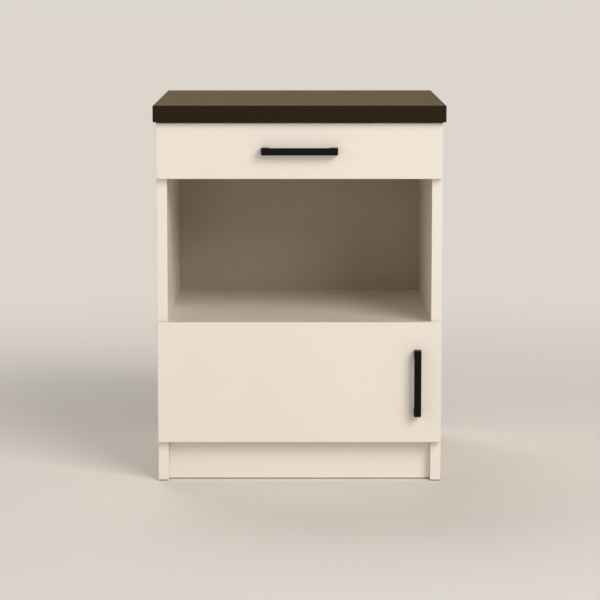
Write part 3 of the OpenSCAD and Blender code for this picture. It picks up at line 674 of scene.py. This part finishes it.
def off_axis(point, middle, axis):
    """How far a point is from the line along an axis through the middle."""
    across = point - middle
    across[axis] = 0.0
    return across.length


def add_screw(bm, corners, domed, turn):
    """One screw in the room of its CAD solid: pointed tip, shank, and a head with a
    tapered cross recess. turn is the angle of the recess."""
    lo = Vector([min(c[i] for c in corners) for i in range(3)])
    hi = Vector([max(c[i] for c in corners) for i in range(3)])
    axis = max(range(3), key=lambda i: (hi - lo)[i])
    middle = (lo + hi) / 2
    reach = {}
    for end in (lo[axis], hi[axis]):
        reach[end] = max(off_axis(c, middle, axis) for c in corners
                         if abs(c[axis] - end) < END_NEAR)
    top_at = max(reach, key=reach.get)
    tip_at = lo[axis] + hi[axis] - top_at
    head_r, shank_r = reach[top_at], reach[tip_at]
    up = unit(axis) * (1 if top_at > tip_at else -1)
    side = unit(axis + 1)
    u = side * math.cos(turn) + up.cross(side) * math.sin(turn)
    v = up.cross(u)
    tip = middle.copy()
    tip[axis] = tip_at
    length = abs(top_at - tip_at)
    if domed:
        seat = length - min(abs(c[axis] - top_at) for c in corners
                            if abs(c[axis] - top_at) > SEAT_PAST)
        head = [(length - depth, head_r * share) for depth, share in DOMED_HEAD]
        head.insert(0, (seat, head_r))
    else:
        seat = length - (head_r - shank_r)
        head = [(length - depth, head_r - inset) for depth, inset in FLAT_HEAD]
    profile = [(0.0, shank_r * TIP_R), (shank_r * TIP_L, shank_r), (seat, shank_r), *head]
    rings = [ring(bm, tip + up * along, u, v, radius) for along, radius in profile]
    for a, b in zip(rings, rings[1:]):
        skirt(bm, a, b)
    bm.faces.new(list(reversed(rings[0])))
    face = tip + up * length
    mouth = cross(bm, face, u, v, head_r, CROSS_MOUTH)
    edges = loop_edges(bm, rings[-1]) + loop_edges(bm, mouth)
    bmesh.ops.triangle_fill(bm, edges=edges, use_beauty=True, use_dissolve=False)
    floor = cross(bm, face - up * head_r * CROSS_DEPTH, u, v, head_r, CROSS_FLOOR)
    skirt(bm, mouth, floor)
    bm.faces.new(floor)


def replace_screws(node, material, domed=False):
    """A detailed mesh in place of a CAD node of screws."""
    bm = bmesh.new()
    for number, corners in enumerate(solids(node)):
        add_screw(bm, corners, domed, FIRST_TURN + NEXT_TURN * number)
    bmesh.ops.recalc_face_normals(bm, faces=bm.faces)
    mesh = bpy.data.meshes.new(node)
    bm.to_mesh(mesh)
    bm.free()
    stand_in(node, mesh, material, SCREW_ANGLE)


def build_screws():
    bright = zinc("zinc_screw", ZINC_SCREW, 0.22, 0.36, along=2)
    for node in ("worktop_screws", "runner_channel_screws", "hinge_plate_screws",
                 "plinth_block_screws", "drawer_back_screws", "runner_slide_screws",
                 "hinge_cup_screws"):
        replace_screws(node, bright)
    for node in ("hinge_arm_screws", "drawer_handle_screws", "door_handle_screws"):
        replace_screws(node, bright, domed=True)


# ---- Studio ----

def direct_rays(tree):
    """1 on rays that see a surface straight, by glare or through glass, and 0 on the rays
    that light the object."""
    rays = tree.nodes.new("ShaderNodeLightPath").outputs
    either = rays["Is Camera Ray"]
    for name in ("Is Glossy Ray", "Is Transmission Ray"):
        node = tree.nodes.new("ShaderNodeMath")
        node.operation = "MAXIMUM"
        tree.links.new(either, node.inputs[0])
        tree.links.new(rays[name], node.inputs[1])
        either = node.outputs[0]
    return either


def build_floor():
    """A wide pale floor that fades into the backdrop colour far from the object."""
    bm = bmesh.new()
    bmesh.ops.create_circle(bm, cap_ends=True, segments=96, radius=FLOOR_R)
    floor = new_object("studio_floor", bm)
    f = Finish("studio_floor")
    f.set(Base_Color=STUDIO_FLOOR, Roughness=0.9, Specular_IOR_Level=0.2)
    glow = f.add("ShaderNodeEmission")
    f.put(BACKDROP, glow.inputs["Color"])
    length = f.add("ShaderNodeVectorMath", operation="LENGTH")
    f.put(f.place, length.inputs[0])
    far = f.spread(length.outputs["Value"], *FADE)
    blend = f.add("ShaderNodeMixShader")
    f.put(f.math("MULTIPLY", far, direct_rays(f.tree)), blend.inputs[0])
    f.put(f.shader.outputs[0], blend.inputs[1])
    f.put(glow.outputs[0], blend.inputs[2])
    f.put(blend.outputs[0], f.tree.nodes["Material Output"].inputs["Surface"])
    floor.data.materials.append(f.material)


def build_world():
    """The backdrop colour where it is seen, and a weak even light from all round."""
    world = bpy.data.worlds.new("studio")
    bpy.context.scene.world = world
    world.use_nodes = True
    tree = world.node_tree
    tree.nodes.clear()
    light = tree.nodes.new("ShaderNodeBackground")
    light.inputs["Color"].default_value = (*WARM_WHITE, 1.0)
    light.inputs["Strength"].default_value = FILL
    seen = tree.nodes.new("ShaderNodeBackground")
    seen.inputs["Color"].default_value = (*BACKDROP, 1.0)
    mix = tree.nodes.new("ShaderNodeMixShader")
    tree.links.new(direct_rays(tree), mix.inputs[0])
    tree.links.new(light.outputs[0], mix.inputs[1])
    tree.links.new(seen.outputs[0], mix.inputs[2])
    out = tree.nodes.new("ShaderNodeOutputWorld")
    tree.links.new(mix.outputs[0], out.inputs["Surface"])


def build_lamps():
    for name, place, target, size, power, colour in LAMPS:
        data = bpy.data.lights.new(name, "AREA")
        data.shape = "SQUARE"
        data.size = size
        data.energy = power
        data.color = colour
        lamp = link(bpy.data.objects.new(name, data))
        lamp.location = place
        towards = Vector(target) - lamp.location
        lamp.rotation_euler = towards.to_track_quat("-Z", "Y").to_euler()


def build_camera():
    """The photograph's own viewpoint, found from the corners of the cabinet."""
    data = bpy.data.cameras.new("camera")
    data.sensor_width = SENSOR_W
    data.lens = LENS
    camera = link(bpy.data.objects.new("camera", data))
    camera.location = CAMERA_PLACE
    camera.rotation_euler = (math.radians(90.0 - CAMERA_DOWN), 0.0, 0.0)
    bpy.context.scene.camera = camera


bpy.context.scene.view_settings.view_transform = "Standard"
build_camera()
build_boards()
dress_metal()
dress_small_parts()
build_screws()
build_floor()
build_world()
build_lamps()
